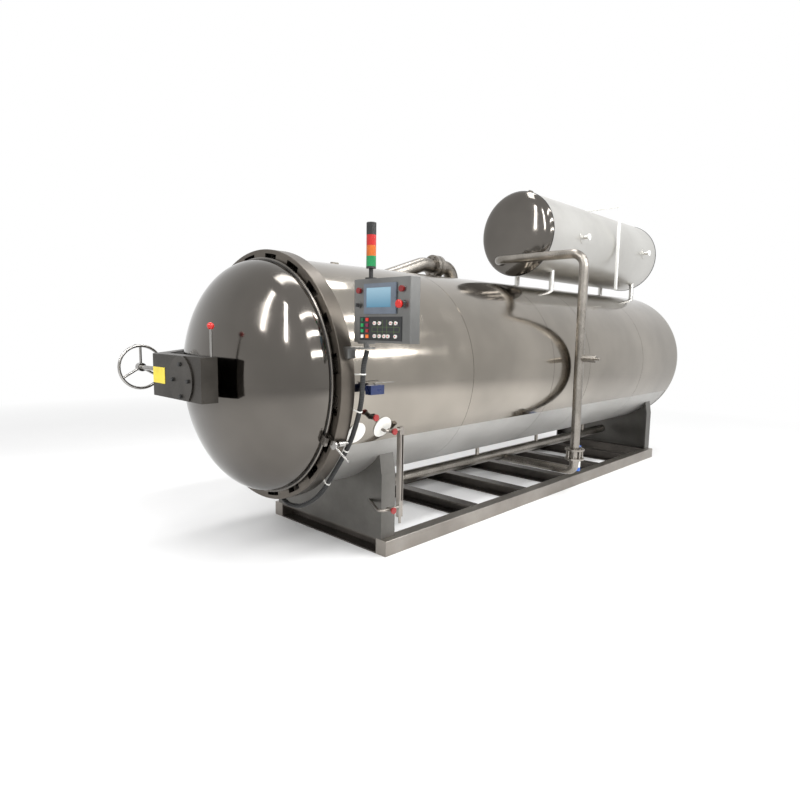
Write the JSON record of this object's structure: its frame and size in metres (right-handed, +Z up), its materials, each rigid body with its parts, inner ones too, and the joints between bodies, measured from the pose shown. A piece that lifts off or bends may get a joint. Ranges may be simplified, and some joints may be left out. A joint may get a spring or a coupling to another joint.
{
  "type": "retort sterilizer",
  "caption": "Horizontal clad retort vessel on a skid with a toothed quick-opening door on a swing arm, overhead water tank, control panel and pipework.",
  "frame": {"origin": "on the floor, at the middle of the front cross member's underside", "axes": "+X along the vessel from the door to the rear, +Z up, the control panel side is -Y"},
  "size_m": [5.9195, 2.112, 2.71],
  "materials": {
    "amber_lens": "amber lens",
    "arm_steel": "plain grey steel plate",
    "bezel_grey": "grey moulded plastic",
    "black_plastic": "black plastic; the push buttons on it are small coloured ones",
    "blue_enamel": "blue enamel",
    "door_flange_steel": "machined steel",
    "green_lens": "green lens",
    "handwheel_steel": "plated steel",
    "matt_cladding": "matt stainless sheet",
    "panel_steel": "brushed stainless box",
    "pipe_steel": "stainless pipe",
    "polished_steel": "mirror polished stainless sheet",
    "red_plastic": "red plastic",
    "ring_steel": "satin turned forging",
    "saddle_steel": "satin stainless plate",
    "screen_glass": "lit blue screen",
    "seal_rubber": "black rubber and plastic",
    "skid_steel": "brushed stainless, weld stained",
    "vessel_steel": "mill finish stainless",
    "white_enamel": "white enamel",
    "yellow_plate": "yellow enamel plate, bare"
  },
  "bodies": {
    "retort": {"base_cross_members": "skid_steel", "base_rails": "skid_steel", "basket_rails": "vessel_steel", "button_panel": "black_plastic", "circulation_pipes": "pipe_steel", "cladding_collars": "white_enamel", "clamp_ring": "ring_steel", "clamp_ring_teeth": "ring_steel", "conduit_clips": "white_enamel", "control_conduit": "seal_rubber", "door_gasket": "seal_rubber", "drain_cock": "handwheel_steel", "front_saddle": "saddle_steel", "hinge_bracket": "ring_steel", "hmi_bezel": "bezel_grey", "hmi_screen": "screen_glass", "interlock_arm": "handwheel_steel", "level_gauge": "pipe_steel", "lifting_lugs": "pipe_steel", "lower_cladding": "matt_cladding", "panel_box": "panel_steel", "panel_bracket": "panel_steel", "panel_lamps": "red_plastic", "pressure_shell": "vessel_steel", "rear_cladding_head": "polished_steel", "rear_head": "vessel_steel", "rear_saddle": "saddle_steel", "riser_flanges": "pipe_steel", "riser_pipe": "pipe_steel", "side_valve_body": "blue_enamel", "tank_front_head": "polished_steel", "tank_gauge": "white_enamel", "tank_legs": "pipe_steel", "tank_nozzles": "pipe_steel", "tank_rear_head": "matt_cladding", "tank_shell": "matt_cladding", "tower_amber_lens": "amber_lens", "tower_body": "black_plastic", "tower_green_lens": "green_lens", "tower_red_lens": "red_plastic", "upper_cladding": "polished_steel", "vent_pipe": "pipe_steel", "vessel_flange": "ring_steel"},
    "door_arm": {"swing_arm": "arm_steel", "gearbox_cover": "arm_steel", "instruction_plate": "yellow_plate"},
    "door": {"door_rim": "ring_steel", "door_flange": "door_flange_steel", "door_teeth": "door_flange_steel", "door_head": "polished_steel", "door_spindle": "door_flange_steel"},
    "handwheel": {"handwheel": "handwheel_steel", "handwheel_crank": "handwheel_steel"},
    "lock_pin": {"lock_pin": "handwheel_steel"},
    "emergency_stop": {"emergency_stop_button": "red_plastic"},
    "key_switch": {"key_switch_knob": "black_plastic"},
    "side_valve_lever": {"side_valve_lever": "handwheel_steel"},
    "gauge_upper_handle": {"gauge_upper_handle": "red_plastic"},
    "gauge_lower_handle": {"gauge_lower_handle": "red_plastic"},
    "drain_cock_handle": {"drain_cock_handle": "red_plastic"}
  },
  "joints": [
    {"name": "door_swing", "type": "hinge", "parent": "retort", "child": "door_arm", "pos_m": [-0.52, 0.9, 1.122], "axis": [0, 0, -1], "range_deg": [0, 105]},
    {"name": "door_turn", "type": "hinge", "parent": "door_arm", "child": "door", "pos_m": [-0.9, 0, 1.11], "axis": [1, 0, 0], "range_deg": [0, 9]},
    {"name": "handwheel_turn", "type": "hinge", "parent": "door_arm", "child": "handwheel", "pos_m": [-0.9975, 0.6, 1.146], "axis": [0, 1, 0], "range_deg": [0, 270]},
    {"name": "lock_pin_lift", "type": "slide", "parent": "door_arm", "child": "lock_pin", "axis": [0, 0, 1], "range_m": [0, 0.04]},
    {"name": "emergency_stop_press", "type": "slide", "parent": "retort", "child": "emergency_stop", "axis": [1, 0, 0], "range_m": [0, 0.004], "stiffness_N_per_m": 600},
    {"name": "key_switch_turn", "type": "hinge", "parent": "retort", "child": "key_switch", "pos_m": [-0.48, -0.803, 1.524], "axis": [1, 0, 0], "range_deg": [0, 90]},
    {"name": "side_valve_turn", "type": "hinge", "parent": "retort", "child": "side_valve_lever", "pos_m": [-0.33, -0.776, 1.1], "axis": [0, 0, -1], "range_deg": [0, 90]},
    {"name": "gauge_upper_handle_turn", "type": "hinge", "parent": "retort", "child": "gauge_upper_handle", "pos_m": [-0.122, -0.72, 0.817], "axis": [0, 1, 0], "range_deg": [0, 90]},
    {"name": "gauge_lower_handle_turn", "type": "hinge", "parent": "retort", "child": "gauge_lower_handle", "pos_m": [-0.122, -0.72, 0.345], "axis": [0, 1, 0], "range_deg": [0, 90]},
    {"name": "drain_cock_handle_turn", "type": "hinge", "parent": "retort", "child": "drain_cock_handle", "pos_m": [-0.28, -0.728, 0.914], "axis": [0, 1, 0], "range_deg": [0, 90]}
  ],
  "couplings": [
    {"joint": "handwheel_turn", "follows": "door_turn", "ratio": 30}
  ]
}
